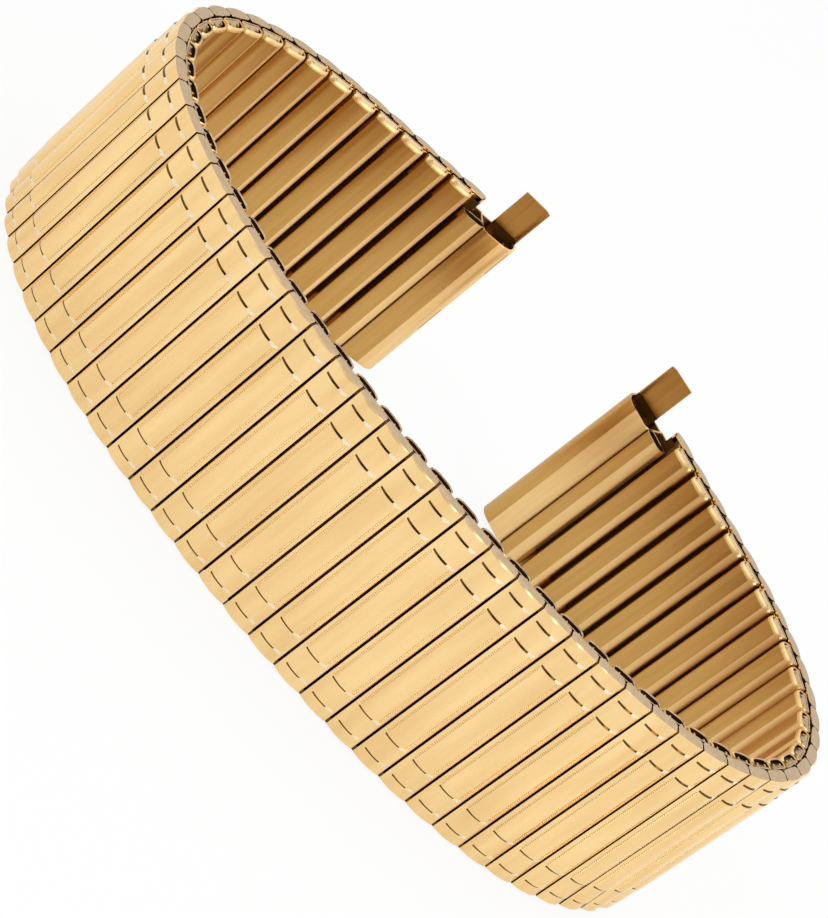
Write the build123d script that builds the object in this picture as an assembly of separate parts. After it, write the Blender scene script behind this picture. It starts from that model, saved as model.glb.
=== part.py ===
"""Expansion watch band, standing on one edge, its two ends bent towards each other.

The outer links make the closed outside of the loop. Half-pitch inner links on the wrist side
join them in pairs, through staples whose legs lie inside the links against leaf springs.
The loop is built on its right half, along the run from the centre link, and mirrored.
In a link's own frame X is along the run, Y goes in from the outer face and Z is the width.
"""

from build123d import *
import math
import os

# Run of the band, millimetres
link_pitch = 2.5
link_gap = 0.12
band_width = 16.9
hinge_depth = 0.1

# Count of links on each side of the centre link, and of those that move one by one
links_per_side = 29
single_links = 25

# Joints between outer links that hinge, counted from the centre link, the others slide
first_hinge = 11
last_hinge = 22

# Angle between neighbouring links in the front, at the turn's tightest joint and in the arms, degrees
front_angle = 2.0
turn_angle = 10.1
arm_angle = -4.0

# Where along a side the turn is tightest, and how much of a side it takes to rise and to fall off
turn_share = 0.621
rise_share = 0.52
fall_share = 0.51

# Cover of an outer link, a crowned sheet with a raised centre panel and folded ends
cover_sheet = 0.15
cover_crown = 0.5
cover_shoulder = 0.55
panel_rise = 0.1
panel_inset = 2.9
cover_end_depth = 1.1
cover_end_inset = 0.2

# Channel of an outer link, under its cover
layer_play = 0.02
sleeve_width = 2.04
sleeve_height = 0.66
sleeve_wall = 0.1

# Channel of an inner link, on the wrist side
layer_gap = 0.14
inner_width = 1.95
inner_height = 1.0
inner_wall = 0.1
inner_inset = 0.5

# Leaf spring in each link
spring_sheet = 0.06
spring_width = 1.5
spring_inset = 3.2

# Staples that join the links, made of square wire
wire = 0.16
wire_play = 0.05
leg_play = 0.04
leg_length = 2.4
leg_swing = 0.14

# End tube, joined to a sleeve under the last outer link
tube_width = 3.65
tube_depth = 2.3
tube_wall = 0.2
tube_drop = 0.05
tube_inset = 1.45
tube_corner = 0.8
tube_overlap = 0.08

# Sliding tab in each mouth of an end tube: a slanting plate on a block bored for a spring bar
tab_share = 0.72
tab_rise = 0.3
tab_sheet = 0.2
tab_length = 6.6
tab_reach = 3.8
tab_block = 2.4
tab_corner = 0.42
tab_play = 0.05
tab_side_play = 0.1
bore_radius = 0.7

# Sizes worked out from the ones above
cover_width = link_pitch - link_gap
cover_under = panel_rise + cover_sheet
sleeve_top = cover_crown + layer_play
sleeve_bottom = sleeve_top + sleeve_height
inner_top = sleeve_bottom + layer_gap
inner_bottom = inner_top + inner_height
back_inset = cover_sheet + wire_play
sleeve_inset = back_inset + wire + wire_play
outer_spring_top = sleeve_top + layer_play
inner_spring_top = inner_bottom - inner_wall - layer_play - spring_sheet
outer_leg = (outer_spring_top + spring_sheet + sleeve_bottom - sleeve_wall) / 2
inner_leg = (inner_top + inner_spring_top) / 2
wire_lean = wire / math.sqrt(2)
fixed_leg = sleeve_width / 2 - sleeve_wall - leg_play - wire / 2
sliding_leg = fixed_leg - wire / 2 - leg_play - wire_lean
leaning_leg = inner_width / 2 - inner_wall - leg_play - wire_lean
hinge_leg = link_pitch / 2 - fixed_leg + leg_swing
tube_start = inner_width / 2 - tube_overlap
tube_end = tube_start + tube_width
tab_width = tab_share * (tube_width - 2 * tube_wall)
tab_centre = tube_end - tube_wall - tab_side_play - tab_width / 2
tab_thickness = tube_depth - 2 * tube_wall - 2 * tab_play
tab_middle = tube_drop + tube_depth / 2


def bend(joint):
    """Degrees between the outer links on the two sides of a joint."""
    before = turn_share - joint / links_per_side
    reach = before / rise_share if before > 0 else -before / fall_share
    far = front_angle if before > 0 else arm_angle
    near = math.cos(math.pi / 2 * min(reach, 1)) ** 2
    return far + (turn_angle - far) * near


def heading(link):
    """Degrees that the run has turned through at an outer link."""
    return sum(bend(joint) for joint in range(1, link + 1))


def step(degrees, along, inward):
    """A move along the run and towards the wrist, where the run has a given heading."""
    angle = math.radians(degrees)
    x = along * math.cos(angle) - inward * math.sin(angle)
    y = along * math.sin(angle) + inward * math.cos(angle)
    return Vector(x, y, 0)


def hinge_point(joint):
    """Place of a joint's hinge line, with the centre link's outer face at Y zero."""
    point = Vector(link_pitch / 2, hinge_depth, 0)
    for link in range(1, joint):
        point += step(heading(link), link_pitch, 0)
    return point


def link_place(link):
    """Frame of an outer link: the middle of its outer face."""
    if link == 0:
        return Location((0, 0, 0))
    turned = heading(link)
    point = hinge_point(link) + step(turned, link_pitch / 2, -hinge_depth)
    return Location(point, (0, 0, turned))


def joint_place(joint):
    """Frame of the inner link under a joint, halfway between the headings beside it."""
    turned = heading(joint - 1) + bend(joint) / 2
    point = hinge_point(joint) + step(turned, 0, -hinge_depth)
    return Location(point, (0, 0, turned))


def prism(points, inset):
    """A profile across the link, carried through the band's width less an inset at each rim."""
    face = Plane.XY.offset(inset) * Polygon(*points, align=None)
    return extrude(face, amount=band_width - 2 * inset, dir=(0, 0, 1))


def plate(width, top, thickness, inset):
    """A flat strip across the band."""
    low = top + thickness
    return prism([(-width / 2, top), (width / 2, top), (width / 2, low), (-width / 2, low)], inset)


def channel(width, top, height, wall, inset):
    """A folded channel across the band, open towards the outer face."""
    side = width / 2
    low = top + height
    outside = [(-side, top), (-side, low), (side, low), (side, top)]
    inside = [(side - wall, top), (side - wall, low - wall), (wall - side, low - wall), (wall - side, top)]
    return prism(outside + inside, inset)


def crowned(top, low, inset):
    """A crowned layer of the cover: flat in the middle, and thinning down to the long edges."""
    side = cover_width / 2
    flat = side - cover_shoulder
    outside = [(-side, cover_crown), (-flat, top), (flat, top), (side, cover_crown)]
    return prism(outside + [(flat, low), (-flat, low)], inset)


def cover():
    """Pressed cover: crowned sheet, raised centre panel and the two folded ends."""
    side = cover_width / 2
    foot = side - cover_end_inset
    flat = side - cover_shoulder
    end = [(-side, cover_crown), (-flat, panel_rise), (flat, panel_rise), (side, cover_crown)]
    block = prism(end + [(foot, cover_end_depth), (-foot, cover_end_depth)], 0)
    folded = block - plate(2 * link_pitch, cover_under, cover_end_depth, cover_sheet)
    return folded + crowned(panel_rise, cover_under, 0) + crowned(0, panel_rise, panel_inset)


def outer_sleeve():
    return channel(sleeve_width, sleeve_top, sleeve_height, sleeve_wall, sleeve_inset)


def inner_link():
    return channel(inner_width, inner_top, inner_height, inner_wall, inner_inset)


def outer_spring():
    return plate(spring_width, outer_spring_top, spring_sheet, spring_inset)


def inner_spring():
    return plate(spring_width, inner_spring_top, spring_sheet, spring_inset)


def staple(outer_along, outer_depth, inner_along, inner_depth):
    """U-shaped staple at the lower rim, from its leg in an outer link to the one in an inner link."""
    along = inner_along - outer_along
    deep = inner_depth - outer_depth
    span = math.hypot(along, deep)
    half = wire / 2
    leg = leg_length
    shape = [(-half, 0), (span + half, 0), (span + half, leg), (span - half, leg)]
    shape += [(span - half, wire), (half, wire), (half, leg), (-half, leg)]
    lean = Plane(
        origin=(outer_along, outer_depth, back_inset),
        x_dir=(along, deep, 0),
        z_dir=(deep, -along, 0),
    )
    return extrude(lean * Polygon(*shape, align=None), amount=half, both=True)


def both_rims(piece):
    """A piece at the lower rim and its mirror image at the upper one."""
    return [piece, mirror(piece, about=Plane.XY.offset(band_width / 2))]


def fixed_staples():
    """The two staples that join an outer link to the inner link after it."""
    return both_rims(staple(fixed_leg, outer_leg, fixed_leg, inner_leg))


def sliding_staples():
    """The two staples from an inner link to the next outer link, leaning, where that one slides."""
    return both_rims(staple(link_pitch / 2 + sliding_leg, outer_leg, leaning_leg, inner_leg))


def hinging_staples():
    """The two staples from an inner link to the next outer link, upright, where that one hinges."""
    return both_rims(staple(hinge_leg, outer_leg, hinge_leg, inner_leg))


cover_solid = cover()
sleeve_solid = outer_sleeve()
outer_spring_solid = outer_spring()
inner_solid = inner_link()
inner_spring_solid = inner_spring()
fixed_solids = fixed_staples()
sliding_solids = sliding_staples()
hinging_solids = hinging_staples()


def outer_pieces(link):
    """Cover, channel and leaf spring of an outer link, with its staples to the next inner link."""
    place = link_place(link)
    own = [cover_solid, sleeve_solid, outer_spring_solid]
    return [place * piece for piece in own + fixed_solids]


def joint_pieces(joint):
    """Inner link and leaf spring under a joint, with the staples that reach the next outer link."""
    place = joint_place(joint)
    hinges = first_hinge <= joint <= last_hinge
    crossing = hinging_solids if hinges else sliding_solids
    return [place * piece for piece in [inner_solid, inner_spring_solid] + crossing]


def mirrored(pieces):
    return [mirror(piece, about=Plane.YZ) for piece in pieces]


def centre_link():
    """The centre outer link, whose inner links reach out to both sides."""
    side = joint_pieces(1) + [link_place(0) * piece for piece in fixed_solids]
    middle = [cover_solid, sleeve_solid, outer_spring_solid]
    return middle + side + mirrored(side)


def single_link(link):
    return outer_pieces(link) + joint_pieces(link + 1)


def end_links():
    """The last outer links, which keep their place to the end tube."""
    pieces = []
    for link in range(single_links + 1, links_per_side):
        pieces += single_link(link)
    return pieces + outer_pieces(links_per_side)


def free_bevelled(width, depth, size):
    """Rectangle from the origin along X, centred on Y, with its two far corners cut off."""
    face = Rectangle(width, depth, align=(Align.MIN, Align.CENTER))
    return chamfer(face.vertices().group_by(Axis.X)[-1], size)


def free_rounded(width, depth, radius):
    """Rectangle from the origin along X, centred on Y, with its two far corners round."""
    face = Rectangle(width, depth, align=(Align.MIN, Align.CENTER))
    return fillet(face.vertices().group_by(Axis.X)[-1], radius)


def end_tube():
    """Folded tube that holds the tabs, one with the sleeve and the lip under the last outer link."""
    length = band_width - 2 * tube_inset
    base = Pos(tube_start, tab_middle, tube_inset)
    outside = free_rounded(tube_width, tube_depth, tube_corner)
    cavity = free_rounded(tube_width - 2 * tube_wall, tube_depth - 2 * tube_wall, tube_corner - tube_wall)
    section = outside - Pos(tube_wall, 0, 0) * cavity
    lip_start = link_gap / 2
    lip_end = tube_start + tube_wall
    lip_bottom = tube_drop + tube_wall
    lip = [(lip_start, tube_drop), (lip_end, tube_drop), (lip_end, lip_bottom), (lip_start, lip_bottom)]
    sleeve = channel(inner_width, inner_top, inner_height, inner_wall, tube_inset)
    tube = base * extrude(section, amount=length) + prism(lip, tube_inset) + sleeve
    return joint_place(links_per_side + 1) * tube


def tab():
    """Tab pushed home in the tube's lower mouth: a slanting plate clear of the bore, and a bored block."""
    base = Pos(tab_centre, tab_middle, tube_inset)
    side = tab_width / 2
    far = -tab_thickness / 2
    rise = far + tab_rise
    slant = [(-side, far), (side, rise), (side, rise + tab_sheet), (-side, far + tab_sheet)]
    sheet = extrude(Polygon(*slant, align=None), amount=tab_length, dir=(0, 0, 1))
    section = Pos(-side, 0, 0) * free_bevelled(tab_width, tab_thickness, tab_corner)
    start = tab_length - tab_block
    block = Pos(0, 0, start) * extrude(section, amount=tab_block)
    bore = Cylinder(bore_radius, tab_block, align=(Align.CENTER, Align.CENTER, Align.MIN))
    return joint_place(links_per_side + 1) * base * (sheet + block - Pos(0, 0, start) * bore)


def bottom_tab():
    return tab()


def top_tab():
    """The same tab in the upper mouth, drawn out by its reach."""
    return Pos(0, 0, tab_reach) * mirror(tab(), about=Plane.XY.offset(band_width / 2))


def loop_centre():
    """Y of the middle of the whole loop, from the centre link's face to the end tube."""
    return end_tube().bounding_box().max.Y / 2


def region(link):
    if link < first_hinge:
        return "front_link"
    if link <= last_hinge:
        return "turn_link"
    return "arm_link"


def right_nodes():
    """Every node of the right half, by the name that it has less its side."""
    nodes = {}
    for link in range(1, single_links + 1):
        nodes[f"{region(link)}_SIDE_{link:02d}"] = single_link(link)
    nodes["end_links_SIDE"] = end_links()
    nodes["end_tube_SIDE"] = [end_tube()]
    nodes["top_tab_SIDE"] = [top_tab()]
    nodes["bottom_tab_SIDE"] = [bottom_tab()]
    return nodes


def write(name, pieces):
    """Write one node, its pieces as separate solids, with the loop's middle at the origin."""
    solids = [solid for piece in pieces for solid in piece.solids()]
    node = Pos(0, -loop_middle, 0) * Compound(solids)
    export_step(node, f"parts/{name}.step")


loop_middle = loop_centre()


def main():
    os.makedirs("parts", exist_ok=True)
    write("centre_link", centre_link())
    for name, pieces in right_nodes().items():
        write(name.replace("SIDE", "right"), pieces)
        write(name.replace("SIDE", "left"), mirrored(pieces))


if __name__ == "__main__":
    main()
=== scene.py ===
"""Expansion watch band: the looks of each piece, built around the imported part.

Pieces are modelled once in a link's own frame, in millimetres, and then laid along the loop.
In that frame X is along the run, Y goes in towards the wrist and Z is across the band.
"""

import bpy
import bmesh
import math
from bpy.props import FloatProperty, FloatVectorProperty, PointerProperty
from mathutils import Matrix, Vector


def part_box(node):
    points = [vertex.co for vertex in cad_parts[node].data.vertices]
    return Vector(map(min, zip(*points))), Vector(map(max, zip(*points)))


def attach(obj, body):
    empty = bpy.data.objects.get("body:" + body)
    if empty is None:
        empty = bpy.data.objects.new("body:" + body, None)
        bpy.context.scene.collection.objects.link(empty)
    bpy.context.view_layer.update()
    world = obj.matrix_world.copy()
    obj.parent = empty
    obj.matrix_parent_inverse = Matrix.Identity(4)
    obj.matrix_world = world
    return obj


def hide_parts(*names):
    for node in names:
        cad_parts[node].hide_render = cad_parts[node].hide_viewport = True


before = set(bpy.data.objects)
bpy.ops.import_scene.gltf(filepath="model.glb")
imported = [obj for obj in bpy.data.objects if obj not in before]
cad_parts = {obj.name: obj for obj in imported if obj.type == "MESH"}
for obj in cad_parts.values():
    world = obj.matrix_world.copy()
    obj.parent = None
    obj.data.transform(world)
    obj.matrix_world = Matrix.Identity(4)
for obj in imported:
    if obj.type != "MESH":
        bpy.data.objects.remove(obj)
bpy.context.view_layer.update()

bl_info = {
    "name": "Expansion watch band",
    "version": (1, 0, 0),
    "blender": (4, 5, 0),
    "location": "3D View > Sidebar > Watch Band",
    "description": "Builds a gold expansion watch band, link by link, with its tubes and tabs",
    "category": "Add Mesh",
}

MM = 0.001
LINK_LOW, LINK_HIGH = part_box("centre_link")
SIDES = ("right", "left")

# Outer links on each side of the centre link, those that move one by one, and the joints that hinge
LAST_LINK = 29
SINGLE_LINKS = 25
FIRST_HINGE = 11
LAST_HINGE = 22

# Places in a link's own frame, mm: the rows of beads, the top of a shell, the near corner of a tube
BEAD_LINE = 0.86
SHELL_TOP = 1.32
TUBE_START = 0.895
TUBE_TOP = 0.05

# Places of the finishes in a piece's list: three that covers and shells share, then their own
# The second of them is painted shade, a dark colour in insides, hollows and gaps
MAIN, PAINTED_SHADE, PALE = 0, 1, 2
# On a cover the fourth finish is painted shade on the pressed steps and the fifth a painted highlight at
# their lit ends
STEP_SHADE, PAINTED_GLINT = 3, 4
# On a shell the fourth finish is a painted highlight on the lit shoulders
PAINTED_HIGHLIGHT = 3


class LoopSizes(bpy.types.PropertyGroup):
    """Run of the band and the shape of its loop."""

    pitch: FloatProperty(
        name="Link pitch", description="From one outer link to the next, mm", default=2.5)
    band_width: FloatProperty(
        name="Band width", description="From rim to rim, mm",
        default=(LINK_HIGH[2] - LINK_LOW[2]) / MM)
    hinge_depth: FloatProperty(
        name="Hinge depth", description="Depth of the bend line under the outer face, mm", default=0.1)
    front_angle: FloatProperty(
        name="Front bend", description="Degrees between neighbours in the front", default=2.0)
    turn_angle: FloatProperty(
        name="Turn bend", description="Degrees between neighbours at the tightest joint", default=10.1)
    arm_angle: FloatProperty(
        name="Arm bend", description="Degrees between neighbours near the ends", default=-4.0)
    turn_share: FloatProperty(
        name="Turn place", description="Where along a side the turn is tightest", default=0.621)
    rise_share: FloatProperty(
        name="Turn rise", description="Part of a side over which the turn builds up", default=0.52)
    fall_share: FloatProperty(
        name="Turn fall", description="Part of a side over which the turn fades", default=0.51)


class CoverSizes(bpy.types.PropertyGroup):
    """Pressed cover of an outer link."""

    width: FloatProperty(name="Width", description="Along the run, mm", default=2.3)
    sheet: FloatProperty(name="Sheet", description="Thickness of the sheet, mm", default=0.15)
    crown: FloatProperty(
        name="Crown", description="Drop of the face from its middle to its long edges, mm", default=0.5)
    rim_drop: FloatProperty(
        name="Rim drop", description="Depth of the rim zone below the panel, mm", default=0.14)
    band_drop: FloatProperty(
        name="Middle drop", description="Depth of the zone between rim and panel, mm", default=0.07)
    rim_length: FloatProperty(
        name="Rim zone", description="From the rim to the first step, mm", default=1.0)
    panel_inset: FloatProperty(
        name="Panel inset", description="From the rim to the raised panel, mm", default=2.85)
    end_depth: FloatProperty(
        name="End depth", description="Depth of the folded end below the panel, mm", default=1.16)
    end_slant: FloatProperty(
        name="End slant", description="How far the folded end leans out, mm", default=0.16)
    bead_pitch: FloatProperty(
        name="Bead pitch", description="From bead to bead along the panel's edges, mm", default=0.16)


class UnderSizes(bpy.types.PropertyGroup):
    """Channels, springs and staples under the covers."""

    sleeve_width: FloatProperty(name="Channel width", description="Outer link's channel, mm", default=2.04)
    inner_width: FloatProperty(name="Inner width", description="Inner link, along the run, mm", default=2.08)
    inner_inset: FloatProperty(
        name="Inner inset", description="From the rim to the inner link's end, mm", default=0.1)
    wall: FloatProperty(name="Wall", description="Sheet of the channels, mm", default=0.1)
    wire: FloatProperty(name="Wire", description="Thickness of the staples, mm", default=0.16)


class EndSizes(bpy.types.PropertyGroup):
    """End tubes and their sliding tabs."""

    tube_width: FloatProperty(name="Tube width", description="Along the run, mm", default=3.65)
    tube_depth: FloatProperty(name="Tube depth", description="Through the band, mm", default=2.3)
    tube_wall: FloatProperty(name="Tube wall", description="Sheet of the tube, mm", default=0.2)
    tube_corner: FloatProperty(name="Tube corner", description="Radius of the free side, mm", default=0.8)
    tube_inset: FloatProperty(name="Tube inset", description="From rim to mouth, mm", default=1.45)
    tab_width: FloatProperty(name="Tab width", description="Along the run, mm", default=2.34)
    tab_length: FloatProperty(name="Tab length", description="Whole tab, mm", default=6.6)
    tab_reach: FloatProperty(name="Tab reach", description="How far a tab is drawn out, mm", default=3.8)
    tab_block: FloatProperty(name="Tab block", description="Length of the bored block, mm", default=2.4)
    bore_radius: FloatProperty(name="Bore radius", description="Hole for a spring bar, mm", default=0.7)


class FinishColours(bpy.types.PropertyGroup):
    """Colours of the finishes and the stage."""

    polished: FloatVectorProperty(
        name="Polished gold", description="Outer covers", subtype="COLOR",
        default=(1.0, 0.72, 0.35), min=0.0, max=1.0)
    satin: FloatVectorProperty(
        name="Satin gold", description="Inner links, tubes and tabs", subtype="COLOR",
        default=(0.64, 0.38, 0.12), min=0.0, max=1.0)
    end_face: FloatVectorProperty(
        name="End face", description="Folded ends of the covers", subtype="COLOR",
        default=(0.54, 0.41, 0.26), min=0.0, max=1.0)
    # Painted shade: a dark gold on the pressed steps, where they look dark
    step_shade: FloatVectorProperty(
        name="Step shade", description="Painted shade on the pressed steps of the covers", subtype="COLOR",
        default=(0.15, 0.075, 0.02), min=0.0, max=1.0)
    # Painted highlight: a paler gold on the shoulders and ends that turn to the light
    bright: FloatVectorProperty(
        name="Bright gold", description="Painted highlight on the lit shoulders of the inner links and tubes", subtype="COLOR",
        default=(1.0, 0.71, 0.33), min=0.0, max=1.0)
    # Painted highlight: a pale gold at the lit ends of the pressed steps
    painted_glint: FloatVectorProperty(
        name="Painted glint", description="Lit ends of the pressed steps", subtype="COLOR",
        default=(1.0, 0.9, 0.68), min=0.0, max=1.0)
    # Painted shade: a dark colour on insides, hollows and gaps, where shade falls
    inside: FloatVectorProperty(
        name="Shade inside", description="Painted shade on insides, hollows and gaps", subtype="COLOR",
        default=(0.13, 0.055, 0.015), min=0.0, max=1.0)
    floor: FloatVectorProperty(
        name="Floor", description="Pale floor", subtype="COLOR",
        default=(0.9, 0.9, 0.9), min=0.0, max=1.0)


def sizes(group):
    return getattr(bpy.context.scene, "band_" + group)


# Selecting and shaping

def only(piece):
    """Make a piece the only one that is selected."""
    bpy.ops.object.select_all(action="DESELECT")
    piece.select_set(True)
    bpy.context.view_layer.objects.active = piece


def added(name):
    """Name the primitive that was just added, and put its place and size into its mesh."""
    piece = bpy.context.object
    piece.name = name
    piece.data.name = name
    bpy.ops.object.transform_apply(location=True, rotation=True, scale=True)
    return piece


def edit(piece):
    only(piece)
    bpy.ops.object.mode_set(mode="EDIT")


def leave():
    bpy.ops.object.mode_set(mode="OBJECT")


def pick(piece, test):
    """Select the vertices that a test on their place lets through, and what lies between them."""
    bpy.context.tool_settings.mesh_select_mode = (True, False, False)
    mesh = bmesh.from_edit_mesh(piece.data)
    for part in list(mesh.faces) + list(mesh.edges) + list(mesh.verts):
        part.select = False
    for vertex in mesh.verts:
        if test(vertex.co):
            vertex.select_set(True)
    mesh.select_flush(True)
    bmesh.update_edit_mesh(piece.data)


def near(value, target):
    return abs(value - target) < 1e-4


def cut(piece, axis, places):
    """Cut a piece all the way across at each place along an axis."""
    normal = [0, 0, 0]
    normal[axis] = 1
    for place in places:
        point = [0, 0, 0]
        point[axis] = place
        bpy.ops.mesh.select_all(action="SELECT")
        bpy.ops.mesh.bisect(plane_co=point, plane_no=normal)


def round_edges(piece, test, radius, segments):
    """Round off the edges across the band whose two ends pass a test on their place."""
    bpy.context.tool_settings.mesh_select_mode = (False, True, False)
    mesh = bmesh.from_edit_mesh(piece.data)
    for edge in mesh.edges:
        one, two = edge.verts
        edge.select_set(not near(one.co.z, two.co.z) and test(one.co) and test(two.co))
    bmesh.update_edit_mesh(piece.data)
    bpy.ops.mesh.bevel(offset=radius, segments=segments, affect="EDGES")


def move(x=0.0, y=0.0, z=0.0):
    bpy.ops.transform.translate(value=(x, y, z))


def draw_out(length):
    """Extrude what is selected across the band."""
    bpy.ops.mesh.extrude_region_move(TRANSFORM_OT_translate={"value": (0, 0, length)})


def modify(piece, kind, **settings):
    """Add a modifier, set it and apply it."""
    only(piece)
    modifier = piece.modifiers.new(kind.title(), kind)
    for key, value in settings.items():
        setattr(modifier, key, value)
    bpy.ops.object.modifier_apply(modifier=modifier.name)


def outward(piece):
    """Merge doubles and turn all faces outwards."""
    edit(piece)
    bpy.ops.mesh.select_all(action="SELECT")
    bpy.ops.mesh.remove_doubles(threshold=1e-4)
    bpy.ops.mesh.normals_make_consistent(inside=False)
    leave()


def smooth(piece, degrees=35):
    only(piece)
    bpy.ops.object.shade_smooth_by_angle(angle=math.radians(degrees))


def join(pieces):
    """Join pieces into the first."""
    bpy.ops.object.select_all(action="DESELECT")
    for piece in pieces:
        piece.select_set(True)
    bpy.context.view_layer.objects.active = pieces[0]
    bpy.ops.object.join()
    return pieces[0]


# The loop

def bend(joint):
    """Degrees between the outer links on the two sides of a joint."""
    loop = sizes("loop")
    before = loop.turn_share - joint / LAST_LINK
    reach = before / loop.rise_share if before > 0 else -before / loop.fall_share
    far = loop.front_angle if before > 0 else loop.arm_angle
    return far + (loop.turn_angle - far) * math.cos(math.pi / 2 * min(reach, 1)) ** 2


def heading(link):
    return sum(bend(joint) for joint in range(1, link + 1))


def step(degrees, along, inward):
    angle = math.radians(degrees)
    return Vector((along * math.cos(angle) - inward * math.sin(angle),
                   along * math.sin(angle) + inward * math.cos(angle), 0))


def hinge_point(joint):
    loop = sizes("loop")
    point = Vector((loop.pitch / 2, loop.hinge_depth, 0))
    for link in range(1, joint):
        point += step(heading(link), loop.pitch, 0)
    return point


def outer_place(link):
    """Middle of an outer link's outer face, and the link's heading."""
    if link == 0:
        return Vector((0, 0, 0)), 0.0
    loop = sizes("loop")
    turned = heading(link)
    return hinge_point(link) + step(turned, loop.pitch / 2, -loop.hinge_depth), turned


def inner_place(joint):
    """The same above an inner link, halfway between the headings beside it."""
    turned = heading(joint - 1) + bend(joint) / 2
    return hinge_point(joint) + step(turned, 0, -sizes("loop").hinge_depth), turned


def placing(place, side):
    """Matrix from a link's frame in millimetres, centred on the width, to the object's frame."""
    point, turned = place
    front = LINK_LOW[1] / MM
    lift = Vector((0, front, sizes("loop").band_width / 2))
    matrix = Matrix.Translation(point + lift) @ Matrix.Rotation(math.radians(turned), 4, "Z")
    if side == "left":
        matrix = Matrix.Scale(-1, 4, (1, 0, 0)) @ matrix
    return Matrix.Scale(MM, 4) @ matrix


def laid(template, name, place, side, body, node):
    """Copy a modelled piece to its place in the band."""
    piece = bpy.data.objects.new(name, template.data.copy())
    piece.data.name = name
    piece.data.transform(placing(place, side))
    if side == "left":
        piece.data.flip_normals()
    bpy.context.scene.collection.objects.link(piece)
    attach(piece, body)
    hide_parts(node)
    return piece


def body_name(side, link):
    if link == 0:
        return "centre_link"
    if link > SINGLE_LINKS:
        return "end_" + side
    region = "front" if link < FIRST_HINGE else "turn" if link <= LAST_HINGE else "arm"
    return f"{region}_link_{side}_{link:02d}"


def node_name(side, link):
    return f"end_links_{side}" if link > SINGLE_LINKS else body_name(side, link)


def every_outer(template, label, slot, sides=SIDES):
    """Lay a piece in every outer link of the given sides."""
    if "right" in sides:
        laid(template, f"{label}_centre", outer_place(0), "right", "centre_link", "centre_link")
    for side in sides:
        for link in range(1, LAST_LINK + 1):
            laid(template, f"{label}_{side}_{link:02d}", outer_place(link), side,
                 body_name(side, link), node_name(side, link))


def every_inner(template, label, slot, hinging=None, sides=SIDES):
    """Lay a piece under every joint, another one where the joint hinges if that is given."""
    for side in sides:
        for joint in range(1, LAST_LINK + 1):
            hinges = FIRST_HINGE <= joint <= LAST_HINGE
            piece = hinging if hinging and hinges else template
            laid(piece, f"{label}_{side}_{joint:02d}", inner_place(joint), side,
                 body_name(side, joint - 1), node_name(side, joint - 1))


# Finishes

def finish(name, colour, roughness, grain, stretch, depth, metal=1.0):
    """A gold finish whose fine grain runs across the band and varies its gloss and colour."""
    material = bpy.data.materials.new(name)
    material.use_nodes = True
    tree = material.node_tree
    shader = tree.nodes["Principled BSDF"]
    shader.inputs["Metallic"].default_value = metal
    coordinates = tree.nodes.new("ShaderNodeTexCoord")
    mapping = tree.nodes.new("ShaderNodeMapping")
    mapping.inputs["Scale"].default_value = stretch
    noise = tree.nodes.new("ShaderNodeTexNoise")
    noise.inputs["Scale"].default_value = grain
    noise.inputs["Detail"].default_value = 3.0
    tree.links.new(coordinates.outputs["Object"], mapping.inputs["Vector"])
    tree.links.new(mapping.outputs["Vector"], noise.inputs["Vector"])
    gloss = tree.nodes.new("ShaderNodeMapRange")
    gloss.inputs["To Min"].default_value = roughness * 0.75
    gloss.inputs["To Max"].default_value = roughness * 1.25
    tree.links.new(noise.outputs["Fac"], gloss.inputs["Value"])
    tree.links.new(gloss.outputs["Result"], shader.inputs["Roughness"])
    tint = tree.nodes.new("ShaderNodeValToRGB")
    tint.color_ramp.elements[0].position = 0.3
    tint.color_ramp.elements[0].color = (colour[0] * 0.89, colour[1] * 0.84, colour[2] * 0.76, 1)
    tint.color_ramp.elements[1].position = 0.7
    tint.color_ramp.elements[1].color = (colour[0], colour[1], colour[2], 1)
    tree.links.new(noise.outputs["Fac"], tint.inputs["Fac"])
    tree.links.new(tint.outputs["Color"], shader.inputs["Base Color"])
    bump = tree.nodes.new("ShaderNodeBump")
    bump.inputs["Strength"].default_value = depth
    bump.inputs["Distance"].default_value = 0.00002
    tree.links.new(noise.outputs["Fac"], bump.inputs["Height"])
    tree.links.new(bump.outputs["Normal"], shader.inputs["Normal"])
    return material


def gold(name):
    """The finish of a given name, made when it is first asked for."""
    if name in bpy.data.materials:
        return bpy.data.materials[name]
    colours = sizes("colours")
    if name == "polished gold":
        return finish(name, colours.polished, 0.14, 900.0, (1, 1, 0.12), 0.03)
    if name == "painted step shade":
        return finish(name, colours.step_shade, 0.3, 2500.0, (1, 1, 1), 0.05)
    if name == "painted inside shade":
        return finish(name, colours.inside, 0.55, 2500.0, (1, 1, 1), 0.1)
    if name == "bright gold":
        return finish(name, colours.bright, 0.4, 2600.0, (1, 1, 0.05), 0.1, 0.7)
    if name == "painted glint gold":
        return finish(name, colours.painted_glint, 0.35, 2500.0, (1, 1, 1), 0.05, 0.4)
    if name == "end face gold":
        return finish(name, colours.end_face, 0.42, 2500.0, (1, 1, 1), 0.1)
    return finish(name, colours.satin, 0.33, 2600.0, (1, 1, 0.05), 0.12)


def wear(piece, *names):
    for name in names:
        piece.data.materials.append(gold(name))


# Pieces

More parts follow.
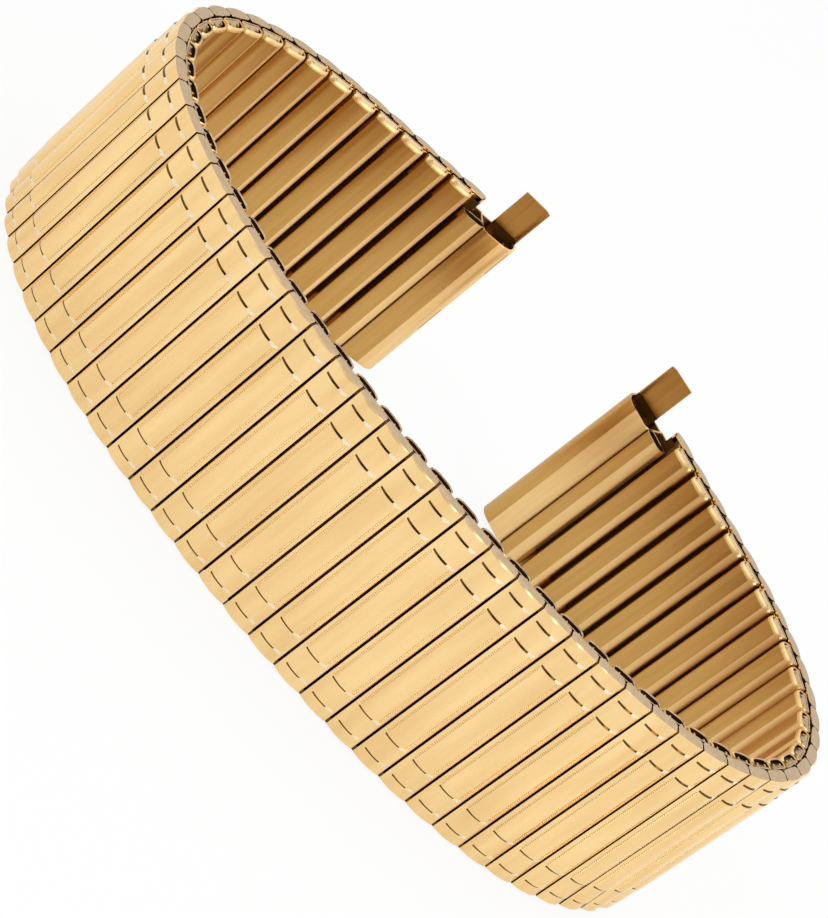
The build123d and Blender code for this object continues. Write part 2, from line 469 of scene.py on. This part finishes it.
class BAND_OT_covers(bpy.types.Operator):
    """Pressed covers of the outer links, with stepped ends, a crowned panel and beaded edges"""

    bl_idname = "band.covers"
    bl_label = "Outer covers"

    def execute(self, context):
        rim = -sizes("loop").band_width / 2
        cover = self.quarter(rim)
        modify(cover, "MIRROR", use_axis=(True, False, True), merge_threshold=1e-4)
        outward(cover)
        wear(cover, "polished gold", "painted inside shade", "end face gold", "painted step shade", "painted glint gold")
        # The underside of the sheet takes the second finish, painted shade
        modify(cover, "SOLIDIFY", thickness=sizes("cover").sheet, offset=-1, use_even_offset=False,
               material_offset=1)
        smooth(cover, 24)
        self.mark(cover, rim)
        cover = join([cover] + self.beads(rim))
        # The painted highlight goes on the side of each cover that turns to the light, mirrored for the left
        # side
        for side, lit in (("right", 1), ("left", -1)):
            self.painted_glint(cover, rim, lit)
            every_outer(cover, "cover", "polished_gold", (side,))
        bpy.data.objects.remove(cover)
        return {"FINISHED"}

    def quarter(self, rim):
        """A quarter of the cover: a flat sheet cut into a grid, then pressed and folded point by point."""
        size = sizes("cover")
        half = size.width / 2
        flap, wall = 0.9, 0.4
        bpy.ops.object.select_all(action="DESELECT")
        bpy.ops.mesh.primitive_plane_add(
            size=1, location=((half + wall) / 2, 0, (rim - flap) / 2), rotation=(math.pi / 2, 0, 0))
        bpy.context.object.scale = (half + wall, flap - rim, 1)
        cover = added("cover")
        edit(cover)
        rows = [-0.6, -0.3, -0.1, 0, size.end_slant + 0.1]
        rows += [edge + row for edge in (size.rim_length, size.panel_inset) for row in (-0.07, 0.07, 0.15)]
        cut(cover, 2, [rim + row for row in rows])
        cut(cover, 0, [0.2, 0.4, 0.56, 0.68, 0.72, BEAD_LINE, 1.0, 1.04, 1.1, half])
        mesh = bmesh.from_edit_mesh(cover.data)
        spots = sorted({(round(v.co.x, 4), round(v.co.z, 4)) for v in mesh.verts}, reverse=True)
        for x, z in spots:
            pick(cover, lambda co: near(co.x, x) and near(co.z, z) and near(co.y, 0))
            across, deep, over = self.formed(x, z - rim)
            move(across - x, deep, rim + over - z)
        leave()
        return cover

    def past_step(self, along):
        """How far a place lies from the nearest pressed step."""
        size = sizes("cover")
        return min(abs(along - edge) for edge in (size.rim_length, size.panel_inset))

    def mark(self, cover, rim):
        """Pale folded ends, painted shade along the pressed steps, and painted shade at the feet of the long
        edges, in the gaps between covers.
        """
        size = sizes("cover")
        for face in cover.data.polygons:
            if face.material_index != MAIN:
                continue
            along = -abs(face.center.z) - rim
            across = abs(face.center.x)
            if abs(face.normal.z) > 0.85 and along < size.end_slant:
                face.material_index = PALE
            elif across < BEAD_LINE and self.past_step(along) < 0.03:
                face.material_index = STEP_SHADE
            elif across > size.width / 2 - 0.02 and face.center.y > 0.5:
                face.material_index = PAINTED_SHADE

    def painted_glint(self, cover, rim, lit):
        """Painted highlight at the end of each pressed step, on the side that turns to the light."""
        beside_step = 0.11
        for face in cover.data.polygons:
            if face.center.y > 0.5 or face.material_index in (PAINTED_SHADE, PALE) or len(face.vertices) < 4:
                continue
            along = -abs(face.center.z) - rim
            on_step = self.past_step(along) < 0.03
            beside = self.past_step(along - beside_step) < 0.03
            across = face.center.x * lit
            if (on_step and 0.4 < across < 1.0) or (beside and 0.56 < across < BEAD_LINE):
                face.material_index = PAINTED_GLINT
            elif on_step and abs(across) < BEAD_LINE:
                face.material_index = STEP_SHADE
            elif face.material_index == PAINTED_GLINT:
                face.material_index = MAIN

    def formed(self, x, along):
        """Where a point of the flat sheet lies once pressed and folded: across, depth and from the rim."""
        size = sizes("cover")
        half = size.width / 2
        foot, side_wall = 0.8, 0.95
        edge = min(x, half)
        face = self.depth(edge, max(along, 0))
        lean = size.end_slant * (1 - face / foot)
        if along < -0.01:
            fade = 1 - (edge / half) ** 2
            row = round(along * 10)
            rounding, flank, toe = (face + 0.14 * fade, 0.0), (foot, 0.0), (1.05, 0.08)
            deep, narrow = {-1: rounding, -3: flank, -6: toe, -9: (size.end_depth, 0.26)}[row]
            over = lean - 0.1 * fade if row == -1 else size.end_slant * max(0, 1 - deep / foot)
            if x > half + 0.01:
                return half - narrow, max(deep, side_wall), min(over, 0.0)
            return min(x, half - narrow), deep, over
        if x > half + 0.01:
            return half, side_wall, max(along, 0)
        return x, face, along if along > 0.01 else lean

    def depth(self, x, along):
        """Depth of the outer face at a place across the run and from the rim."""
        size = sizes("cover")
        share = x / (size.width / 2)
        deep = 0.85 * size.crown * share ** 2
        fade = max(0.0, 1 - share ** 2)
        if along < size.rim_length:
            return deep + size.rim_drop * fade
        if along < size.panel_inset:
            return deep + size.band_drop * fade
        bead_groove = 0.012
        return deep + bead_groove if 0.7 < x < 1.02 else deep

    def beads(self, rim):
        """A row of small beads along each long edge of the panel."""
        size = sizes("cover")
        start = rim + size.panel_inset + 0.2
        count = int(-2 * start / size.bead_pitch) + 1
        first = -(count - 1) * size.bead_pitch / 2
        rows = []
        for side in (1, -1):
            place = (side * BEAD_LINE, self.depth(BEAD_LINE, 4.0), first)
            bpy.ops.object.select_all(action="DESELECT")
            bpy.ops.mesh.primitive_ico_sphere_add(subdivisions=1, radius=0.055, location=place)
            bpy.context.object.scale = (2.1, 0.55, 0.95)
            bpy.context.object.rotation_euler = (0, 0, side * 0.6)
            row = added("beads")
            modify(row, "ARRAY", count=count, use_relative_offset=False, use_constant_offset=True,
                   constant_offset_displace=(0, 0, size.bead_pitch))
            wear(row, "polished gold")
            smooth(row, 60)
            rows.append(row)
        return rows


def folded(name, outline, length):
    """Folded sheet, still without thickness: an outline of (along, depth) corners drawn across the band."""
    bpy.ops.object.select_all(action="DESELECT")
    bpy.ops.mesh.primitive_plane_add(size=1)
    piece = added(name)
    edit(piece)
    mesh = bmesh.from_edit_mesh(piece.data)
    bmesh.ops.delete(mesh, geom=list(mesh.verts), context="VERTS")
    points = [mesh.verts.new((x, y, -length / 2)) for x, y in outline]
    for one, two in zip(points, points[1:]):
        mesh.edges.new((one, two)).select_set(True)
    bmesh.update_edit_mesh(piece.data)
    bpy.ops.mesh.select_all(action="SELECT")
    draw_out(length)
    leave()
    return piece


def shell_outline(side):
    """Section of a shell on the wrist side: straight flanks, round shoulders and a nearly flat face."""
    lid = [(0.01, SHELL_TOP), (side - 0.08, SHELL_TOP)]
    flank = [(side, SHELL_TOP + 0.08), (side, 1.86)]
    shoulder = [(side - 0.03, 1.98), (side - 0.09, 2.08), (side - 0.19, 2.16), (side - 0.32, 2.22)]
    half = lid + flank + shoulder + [(side - 0.5, 2.26), (0.2, 2.28)]
    return [(-x, y) for x, y in half] + half[::-1]


def darken(shell, wall):
    """Thicken a shell inwards, with a satin outside, a pale cut edge, and painted shade on its inside and
    top.
    """
    outward(shell)
    wear(shell, "satin gold", "painted inside shade", "end face gold", "bright gold")
    modify(shell, "SOLIDIFY", thickness=wall, offset=-1, use_even_offset=True,
           material_offset=1, material_offset_rim=2)
    smooth(shell, 40)
    # Painted shade on the top of the shell, which faces into the band
    for face in shell.data.polygons:
        if face.center.y < SHELL_TOP + 0.03:
            face.material_index = PAINTED_SHADE


def paint_highlight(piece, lit):
    """Painted highlight on the faces where a test of the face's centre holds, the rest of them satin."""
    for face in piece.data.polygons:
        if face.material_index in (MAIN, PAINTED_HIGHLIGHT):
            face.material_index = PAINTED_HIGHLIGHT if lit(face.center) else MAIN


class BAND_OT_channels(bpy.types.Operator):
    """Channels of the outer links, folded sheet in painted shade that shows in the gaps on the wrist side"""

    bl_idname = "band.channels"
    bl_label = "Outer channels"

    def execute(self, context):
        under = sizes("under")
        side = under.sleeve_width / 2
        rim_gap, chamfer = 0.56, 0.2
        half = [(side - chamfer, 1.06), (side, 0.9), (side, 0.6)]
        outline = [(-x, y) for x, y in half[::-1]] + half
        channel = folded("channel", outline, sizes("loop").band_width - 2 * rim_gap)
        modify(channel, "SOLIDIFY", thickness=under.wall, offset=-1, use_even_offset=True)
        outward(channel)
        smooth(channel, 40)
        # The whole channel is in painted shade
        wear(channel, "painted inside shade")
        every_outer(channel, "channel", "polished_gold")
        bpy.data.objects.remove(channel)
        return {"FINISHED"}


class BAND_OT_inner_links(bpy.types.Operator):
    """Inner links on the wrist side, half a pitch from the outer links"""

    bl_idname = "band.inner_links"
    bl_label = "Inner links"
    bent_length = 0.34

    def execute(self, context):
        under = sizes("under")
        length = sizes("loop").band_width - 2 * under.inner_inset
        link = folded("inner_link", shell_outline(under.inner_width / 2), length)
        self.bend_ends(link, length / 2)
        darken(link, under.wall)
        link = join([link] + self.stops(length))
        turning = bpy.data.objects.new("turning_link", link.data.copy())
        bpy.context.scene.collection.objects.link(turning)
        link = join([link] + self.shade_webs(length))
        highlight_edge, highlight_end = under.inner_width / 2 - 0.5, length / 2 - self.bent_length
        for side, lit in (("right", -1), ("left", 1)):
            for piece in (link, turning):
                # Painted highlight on the lit shoulder and the bent ends of the face
                paint_highlight(piece, lambda co: co.y > 1.7 and (co.x * lit > highlight_edge or abs(co.z) > highlight_end))
            every_inner(link, "inner_link", "polished_gold", turning, (side,))
        for piece in (link, turning):
            bpy.data.objects.remove(piece)
        return {"FINISHED"}

    def bend_ends(self, link, end):
        """Bend the face of the link outwards at both ends, a little narrower towards the mouths."""
        edit(link)
        cut(link, 2, [side * (end - back) for side in (1, -1) for back in (0.08, 0.18, self.bent_length)])
        for back, narrow, outward_by in ((0.0, 0.93, -0.14), (0.08, 0.98, -0.07), (0.18, 1.0, -0.02)):
            pick(link, lambda co: near(abs(co.z), end - back))
            bpy.ops.transform.resize(value=(narrow, 1, 1))
            pick(link, lambda co: near(abs(co.z), end - back) and co.y > 1.9)
            move(y=outward_by)
        leave()

    def stops(self, length):
        """Slanting plates that close the mouths of the inner link, highest at their outer edge."""
        half, top, rise, strip, sheet = 0.86, 1.42, 0.7, 0.1, 0.06
        pieces = []
        for side in (1, -1):
            near_end, far_end = side * (length / 2 - 0.12), side * (length / 2 - 0.54)
            stop = folded("stop", [(-half, top), (half, top)], strip)
            stop.data.transform(Matrix.Translation((0, 0, near_end)))
            edit(stop)
            pick(stop, lambda co: abs(co.z) < abs(near_end))
            move(y=rise, z=far_end - near_end + side * strip / 2)
            leave()
            modify(stop, "SOLIDIFY", thickness=sheet, offset=-side)
            outward(stop)
            wear(stop, "end face gold")
            pieces.append(stop)
        return pieces

    def shade_webs(self, length):
        """Thin webs that fill the slits between the folded ends of two covers with painted shade,
        wedge-shaped towards the wrist.
        """
        width, depth, reach, middle, thinned = 0.13, 1.0, 0.44, 0.94, 0.2
        pieces = []
        for side in (1, -1):
            bpy.ops.object.select_all(action="DESELECT")
            bpy.ops.mesh.primitive_cube_add(size=1, location=(0, middle, side * (length - reach) / 2))
            bpy.context.object.scale = (width, depth, reach)
            shade_web = added("shade_web")
            edit(shade_web)
            pick(shade_web, lambda co: co.y > middle)
            bpy.ops.transform.resize(value=(thinned, 1, 1))
            leave()
            outward(shade_web)
            wear(shade_web, "painted inside shade", "painted step shade")
            # The lower web's outer face takes the painted shade of the pressed steps
            for face in shade_web.data.polygons:
                if side < 0 and face.normal.y < -0.9:
                    face.material_index = 1
            pieces.append(shade_web)
        return pieces


class BAND_OT_springs(bpy.types.Operator):
    """Leaf springs inside the outer and inner links"""

    bl_idname = "band.springs"
    bl_label = "Leaf springs"

    def execute(self, context):
        inset, width, sheet = 3.2, 1.5, 0.06
        length = sizes("loop").band_width - 2 * inset
        for label, deep, bow, lay in (("outer_spring", 0.6, -0.02, every_outer),
                                      ("inner_spring", 2.16, -0.06, every_inner)):
            bpy.ops.object.select_all(action="DESELECT")
            bpy.ops.mesh.primitive_plane_add(size=1, location=(0, deep, 0), rotation=(math.pi / 2, 0, 0))
            bpy.context.object.scale = (width, length, 1)
            spring = added(label)
            edit(spring)
            cut(spring, 2, [-length / 4, 0, length / 4])
            pick(spring, lambda co: abs(co.z) < length / 3)
            move(y=bow)
            leave()
            modify(spring, "SOLIDIFY", thickness=sheet, offset=0)
            outward(spring)
            smooth(spring, 40)
            wear(spring, "satin gold")
            lay(spring, label, "polished_gold")
            bpy.data.objects.remove(spring)
        return {"FINISHED"}


def staple(name, start, end, rim):
    """U-shaped wire at the lower rim, from its leg in an outer link to the one in an inner link."""
    wire = sizes("under").wire
    low = rim + 0.2
    leg = 2.0
    span = math.hypot(end[0] - start[0], end[1] - start[1])
    turned = math.atan2(end[1] - start[1], end[0] - start[0])
    bpy.ops.object.select_all(action="DESELECT")
    bpy.ops.mesh.primitive_cube_add(size=1, location=(span / 2, 0, low + wire / 2))
    bpy.context.object.scale = (span + wire, wire, wire)
    piece = added(name)
    edit(piece)
    cut(piece, 0, [wire / 2, span - wire / 2])
    top = low + wire
    pick(piece, lambda co: near(co.z, top) and (co.x < wire or co.x > span - wire))
    draw_out(leg)
    leave()
    modify(piece, "BEVEL", width=wire * 0.25, segments=1, limit_method="ANGLE", angle_limit=math.radians(40))
    piece.data.transform(Matrix.Translation((start[0], start[1], 0)) @ Matrix.Rotation(turned, 4, "Z"))
    modify(piece, "MIRROR", use_axis=(False, False, True), use_mirror_merge=False)
    outward(piece)
    smooth(piece, 40)
    wear(piece, "satin gold")
    return piece


class BAND_OT_staples(bpy.types.Operator):
    """Wire staples that join each outer link to the inner links beside it"""

    bl_idname = "band.staples"
    bl_label = "Staples"

    def execute(self, context):
        pitch = sizes("loop").pitch
        rim = -sizes("loop").band_width / 2
        outer, inner = 0.84, 1.73
        fixed, hinge, sliding_start, sliding_end = 0.8, 0.59, pitch / 2 + 0.567, 0.722
        after = staple("staple_after", (fixed, outer), (fixed, inner), rim)
        sliding = staple("staple_sliding", (sliding_start, outer), (sliding_end, inner), rim)
        hinging = staple("staple_hinging", (hinge, outer), (hinge, inner), rim)
        for side in SIDES:
            laid(after, f"staple_centre_{side}", outer_place(0), side, "centre_link", "centre_link")
        for side in SIDES:
            for link in range(1, LAST_LINK):
                laid(after, f"staple_{side}_{link:02d}", outer_place(link), side,
                     body_name(side, link), node_name(side, link))
        every_inner(sliding, "crossing_staple", "polished_gold", hinging)
        for piece in (after, sliding, hinging):
            bpy.data.objects.remove(piece)
        return {"FINISHED"}


class BAND_OT_end_tubes(bpy.types.Operator):
    """Folded end tubes with two round sides and a sleeve under the last outer link"""

    bl_idname = "band.end_tubes"
    bl_label = "End tubes"
    seam_depth = 1.2

    def execute(self, context):
        under = sizes("under")
        length = sizes("loop").band_width - 2 * sizes("ends").tube_inset
        tube = self.shell(length)
        sleeve = folded("sleeve", shell_outline(under.inner_width / 2), length)
        darken(sleeve, under.wall)
        # Painted shade at the seam between the tube and the sleeve, on the wrist side
        for piece, first, last in ((tube, 0.0, TUBE_START + 0.16), (sleeve, 0.87, self.seam_depth)):
            for face in piece.data.polygons:
                if face.center.y > self.seam_depth and first < face.center.x < last:
                    face.material_index = PAINTED_SHADE
        tube = join([tube, sleeve, self.lip(length)])
        self.lengthen(tube, length)
        for side, lit in (("right", -1), ("left", 1)):
            # Painted highlight on the tube's lit shoulders and halves
            paint_highlight(tube, lambda co: self.highlighted(co, lit))
            laid(tube, f"tube_{side}", inner_place(LAST_LINK + 1), side, f"end_{side}", f"end_tube_{side}")
        bpy.data.objects.remove(tube)
        return {"FINISHED"}

    def shell(self, length):
        """The tube itself: a box with three round edges and open ends, then thickened inwards."""
        size = sizes("ends")
        wide, deep = size.tube_width, size.tube_depth
        far, low, middle = TUBE_START + wide, TUBE_TOP + deep, TUBE_START + wide / 2
        bpy.ops.object.select_all(action="DESELECT")
        bpy.ops.mesh.primitive_cube_add(size=1, location=(middle, TUBE_TOP + deep / 2, 0))
        bpy.context.object.scale = (wide, deep, length)
        tube = added("end_tube")
        edit(tube)
        round_edges(tube, lambda co: near(co.x, far) and co.y < 1, size.tube_corner, 8)
        round_edges(tube, lambda co: near(co.x, far) and near(co.y, low), 1.4, 12)
        round_edges(tube, lambda co: near(co.x, TUBE_START) and near(co.y, low), 0.7, 8)
        mesh = bmesh.from_edit_mesh(tube.data)
        caps = [face for face in mesh.faces if abs(face.normal.z) > 0.9]
        bmesh.ops.delete(mesh, geom=caps, context="FACES_ONLY")
        bmesh.update_edit_mesh(tube.data)
        cut(tube, 0, [middle + place for place in (-0.3, 0, 0.3)])
        leave()
        outward(tube)
        wear(tube, "satin gold", "painted inside shade", "end face gold", "bright gold")
        # The inside of the tube takes the second finish, painted shade
        modify(tube, "SOLIDIFY", thickness=size.tube_wall, offset=-1, use_even_offset=True, material_offset=1)
        modify(tube, "BEVEL", width=0.04, segments=2, limit_method="ANGLE", angle_limit=math.radians(50))
        smooth(tube, 40)
        return tube

    def lip(self, length):
        """Folded edge that reaches from the tube to the last outer link's cover."""
        outline = [(TUBE_START + 0.15, TUBE_TOP), (0.2, TUBE_TOP), (0.1, 0.08), (0.06, 0.16)]
        lip = folded("lip", outline, length)
        modify(lip, "SOLIDIFY", thickness=0.2, offset=1, use_even_offset=True)
        outward(lip)
        smooth(lip, 40)
        wear(lip, "satin gold")
        return lip

    def lengthen(self, tube, length):
        """Carry the lower mouth a little further down."""
        further = 1.1
        edit(tube)
        pick(tube, lambda co: co.z < 0.2 - length / 2)
        move(z=-further)
        leave()

    def highlighted(self, centre, lit):
        """Whether a face is one of the shoulders or halves that get a painted highlight, on the lit side."""
        if centre.y < self.seam_depth:
            return False
        if centre.x < 0.9:
            return centre.x * lit > 0.1
        middle = TUBE_START + sizes("ends").tube_width / 2
        return (centre.x - middle) * lit > 0 and centre.x > TUBE_START + 0.1


class BAND_OT_tabs(bpy.types.Operator):
    """Sliding tabs in the tube mouths, each a folded slanting plate on a bored block"""

    bl_idname = "band.tabs"
    bl_label = "Sliding tabs"

    def execute(self, context):
        size = sizes("ends")
        middle = TUBE_START + size.tube_width - size.tube_wall - 0.1 - size.tab_width / 2
        depth = TUBE_TOP + size.tube_depth / 2
        low = size.tube_inset - sizes("loop").band_width / 2
        tab = join([self.plate(middle, depth, low), self.block(middle, depth, low)])
        end = inner_place(LAST_LINK + 1)
        for side in SIDES:
            laid(tab, f"lower_tab_{side}", end, side, f"bottom_tab_{side}", f"bottom_tab_{side}")
        tab.data.transform(Matrix.Translation((0, 0, size.tab_reach)) @ Matrix.Scale(-1, 4, (0, 0, 1)))
        tab.data.flip_normals()
        for side in SIDES:
            laid(tab, f"upper_tab_{side}", end, side, f"top_tab_{side}", f"top_tab_{side}")
        bpy.data.objects.remove(tab)
        return {"FINISHED"}

    def plate(self, middle, depth, low):
        """Plate that slants through the tube and folds over along its free side, in painted shade where it
        stays in.
        """
        size = sizes("ends")
        slant = [(-size.tab_width / 2, -0.76), (0.80, -0.44)]
        fold = [(0.93, -0.38), (1.04, -0.28), (1.12, -0.15), (1.16, 0.0)]
        seen_end = low + size.tab_reach - 0.45
        plate = folded("tab", [(middle + x, depth + y) for x, y in slant + fold], size.tab_length)
        plate.data.transform(Matrix.Translation((0, 0, low + size.tab_length / 2)))
        edit(plate)
        cut(plate, 2, [seen_end])
        leave()
        modify(plate, "SOLIDIFY", thickness=0.14, offset=-1, use_even_offset=True)
        outward(plate)
        smooth(plate, 40)
        wear(plate, "satin gold", "painted inside shade")
        # Painted shade on the part of the plate that stays inside the tube
        for face in plate.data.polygons:
            if face.center.z > seen_end:
                face.material_index = PAINTED_SHADE
        return plate

    def block(self, middle, depth, low):
        """Block at the inner end of the tab, with a hole for the end of a spring bar."""
        size = sizes("ends")
        thick = size.tube_depth - 2 * size.tube_wall - 0.1
        place = (middle, depth, low + size.tab_length - size.tab_block / 2)
        bpy.ops.object.select_all(action="DESELECT")
        bpy.ops.mesh.primitive_cube_add(size=1, location=place)
        bpy.context.object.scale = (size.tab_width, thick, size.tab_block)
        block = added("block")
        edit(block)
        round_edges(block, lambda co: near(co.x, middle + size.tab_width / 2), 0.42, 4)
        leave()
        bpy.ops.object.select_all(action="DESELECT")
        bpy.ops.mesh.primitive_cylinder_add(
            vertices=32, radius=size.bore_radius, depth=size.tab_block + 1, location=place)
        bore = added("bore")
        modify(block, "BOOLEAN", object=bore, operation="DIFFERENCE", solver="EXACT")
        bpy.data.objects.remove(bore)
        modify(block, "BEVEL", width=0.03, segments=2, limit_method="ANGLE", angle_limit=math.radians(50))
        smooth(block, 40)
        wear(block, "satin gold")
        return block


class BAND_OT_stage(bpy.types.Operator):
    """Pale floor, plain soft lights and the camera"""

    bl_idname = "band.stage"
    bl_label = "Stage"

    def execute(self, context):
        self.floor()
        self.world()
        for name, place, width, power in (("left_light", (-0.35, -0.2, 0.35), 0.3, 0.5),
                                          ("top_light", (0.05, 0.15, 0.55), 0.4, 0.8),
                                          ("right_light", (0.4, -0.25, 0.25), 0.25, 0.9)):
            self.light(name, Vector(place), width, power)
        self.camera()
        context.scene.view_settings.view_transform = "Standard"
        return {"FINISHED"}

    def floor(self):
        """Pale floor just under the lower rim, which keeps the band's shadow."""
        width, height = 6, -0.0001
        bpy.ops.object.select_all(action="DESELECT")
        bpy.ops.mesh.primitive_plane_add(size=width, location=(0, 0, height))
        floor = added("floor")
        material = bpy.data.materials.new("pale floor")
        material.use_nodes = True
        tree = material.node_tree
        shader = tree.nodes["Principled BSDF"]
        shader.inputs["Base Color"].default_value = (*sizes("colours").floor, 1)
        shader.inputs["Roughness"].default_value = 0.8
        white = tree.nodes.new("ShaderNodeEmission")
        white.inputs["Color"].default_value = (1, 1, 1, 1)
        white.inputs["Strength"].default_value = 1.0
        mix = tree.nodes.new("ShaderNodeMixShader")
        output = tree.nodes["Material Output"]
        tree.links.new(self.seen(tree, direct=0.9, mirrored=0.65), mix.inputs["Fac"])
        tree.links.new(shader.outputs["BSDF"], mix.inputs[1])
        tree.links.new(white.outputs["Emission"], mix.inputs[2])
        tree.links.new(mix.outputs["Shader"], output.inputs["Surface"])
        floor.data.materials.append(material)

    def light(self, name, place, width, power):
        """Soft square light that points at the middle of the band."""
        middle = Vector((0, 0, 0.008))
        bpy.ops.object.light_add(type="AREA", location=place)
        light = bpy.context.object
        light.name = name
        light.data.size = width
        light.data.energy = power
        light.rotation_euler = (middle - place).to_track_quat("-Z", "Y").to_euler()

    def seen(self, tree, direct, mirrored):
        """One share for rays from the camera, another off gloss and glass, and 0 for all other rays."""
        path = tree.nodes.new("ShaderNodeLightPath")
        total = None
        for name, share in (("Is Camera Ray", direct), ("Is Glossy Ray", mirrored),
                            ("Is Transmission Ray", mirrored)):
            scale = tree.nodes.new("ShaderNodeMath")
            scale.operation = "MULTIPLY"
            scale.inputs[1].default_value = share
            tree.links.new(path.outputs[name], scale.inputs[0])
            if total is None:
                total = scale.outputs["Value"]
                continue
            either = tree.nodes.new("ShaderNodeMath")
            either.operation = "MAXIMUM"
            tree.links.new(total, either.inputs[0])
            tree.links.new(scale.outputs["Value"], either.inputs[1])
            total = either.outputs["Value"]
        return total

    def world(self):
        """White all round at eye level, with a dim part of the room high up in front."""
        world = bpy.data.worlds.new("studio")
        bpy.context.scene.world = world
        world.use_nodes = True
        tree = world.node_tree
        tree.nodes.clear()
        output = tree.nodes.new("ShaderNodeOutputWorld")
        light = tree.nodes.new("ShaderNodeBackground")
        light.inputs["Color"].default_value = (1, 1, 1, 1)
        light.inputs["Strength"].default_value = 0.6
        room = tree.nodes.new("ShaderNodeBackground")
        room.inputs["Strength"].default_value = 1.0
        coordinates = tree.nodes.new("ShaderNodeTexCoord")
        facing = tree.nodes.new("ShaderNodeVectorMath")
        facing.operation = "DOT_PRODUCT"
        facing.inputs[1].default_value = (0, -0.8, 0.6)
        ramp = tree.nodes.new("ShaderNodeValToRGB")
        ramp.color_ramp.elements[0].position = 0.55
        ramp.color_ramp.elements[0].color = (1, 1, 1, 1)
        ramp.color_ramp.elements[1].position = 0.88
        ramp.color_ramp.elements[1].color = (0.22, 0.2, 0.18, 1)
        tree.links.new(coordinates.outputs["Generated"], facing.inputs[0])
        tree.links.new(facing.outputs["Value"], ramp.inputs["Fac"])
        tree.links.new(ramp.outputs["Color"], room.inputs["Color"])
        mix = tree.nodes.new("ShaderNodeMixShader")
        tree.links.new(self.seen(tree, direct=1.0, mirrored=1.0), mix.inputs["Fac"])
        tree.links.new(light.outputs["Background"], mix.inputs[1])
        tree.links.new(room.outputs["Background"], mix.inputs[2])
        tree.links.new(mix.outputs["Shader"], output.inputs["Surface"])

    def camera(self):
        """The photograph's viewpoint, from the image's right and down and the line of sight."""
        image_width, focal_length, film = 828, 2685.8, 36.0
        away = Vector((-6.56, -147.29, 85.2))
        right = Vector((0.6346, 0.3045, 0.7103))
        down = Vector((0.7721, -0.291, -0.565))
        sight = Vector((0.0347, 0.9069, -0.4198))
        data = bpy.data.cameras.new("camera")
        data.sensor_fit = "HORIZONTAL"
        data.sensor_width = film
        data.lens = focal_length * film / image_width
        data.clip_start = 0.01
        camera = bpy.data.objects.new("camera", data)
        bpy.context.scene.collection.objects.link(camera)
        place = Vector((0, LINK_LOW[1], 0)) + away * MM
        camera.matrix_world = Matrix((
            (right.x, -down.x, -sight.x, place.x),
            (right.y, -down.y, -sight.y, place.y),
            (right.z, -down.z, -sight.z, place.z),
            (0, 0, 0, 1)))
        bpy.context.scene.camera = camera


class BAND_PT_panel(bpy.types.Panel):
    """Lists the pieces of the band"""

    bl_idname = "BAND_PT_panel"
    bl_label = "Expansion watch band"
    bl_space_type = "VIEW_3D"
    bl_region_type = "UI"
    bl_category = "Watch Band"

    def draw(self, context):
        for operator in OPERATORS:
            self.layout.operator(operator.bl_idname)
        for group in GROUPS:
            for name in GROUPS[group].__annotations__:
                self.layout.prop(sizes(group), name)


GROUPS = {"loop": LoopSizes, "cover": CoverSizes, "under": UnderSizes, "ends": EndSizes,
          "colours": FinishColours}
OPERATORS = (BAND_OT_covers, BAND_OT_channels, BAND_OT_inner_links, BAND_OT_springs, BAND_OT_staples,
             BAND_OT_end_tubes, BAND_OT_tabs, BAND_OT_stage)


def register():
    for item in (*GROUPS.values(), *OPERATORS, BAND_PT_panel):
        bpy.utils.register_class(item)
    for name, group in GROUPS.items():
        setattr(bpy.types.Scene, "band_" + name, PointerProperty(type=group))


def unregister():
    for name in GROUPS:
        delattr(bpy.types.Scene, "band_" + name)
    for item in (BAND_PT_panel, *reversed(OPERATORS), *reversed(list(GROUPS.values()))):
        bpy.utils.unregister_class(item)


def main():
    register()
    bpy.ops.band.covers()
    bpy.ops.band.channels()
    bpy.ops.band.inner_links()
    bpy.ops.band.springs()
    bpy.ops.band.staples()
    bpy.ops.band.end_tubes()
    bpy.ops.band.tabs()
    bpy.ops.band.stage()


if __name__ == "__main__":
    main()
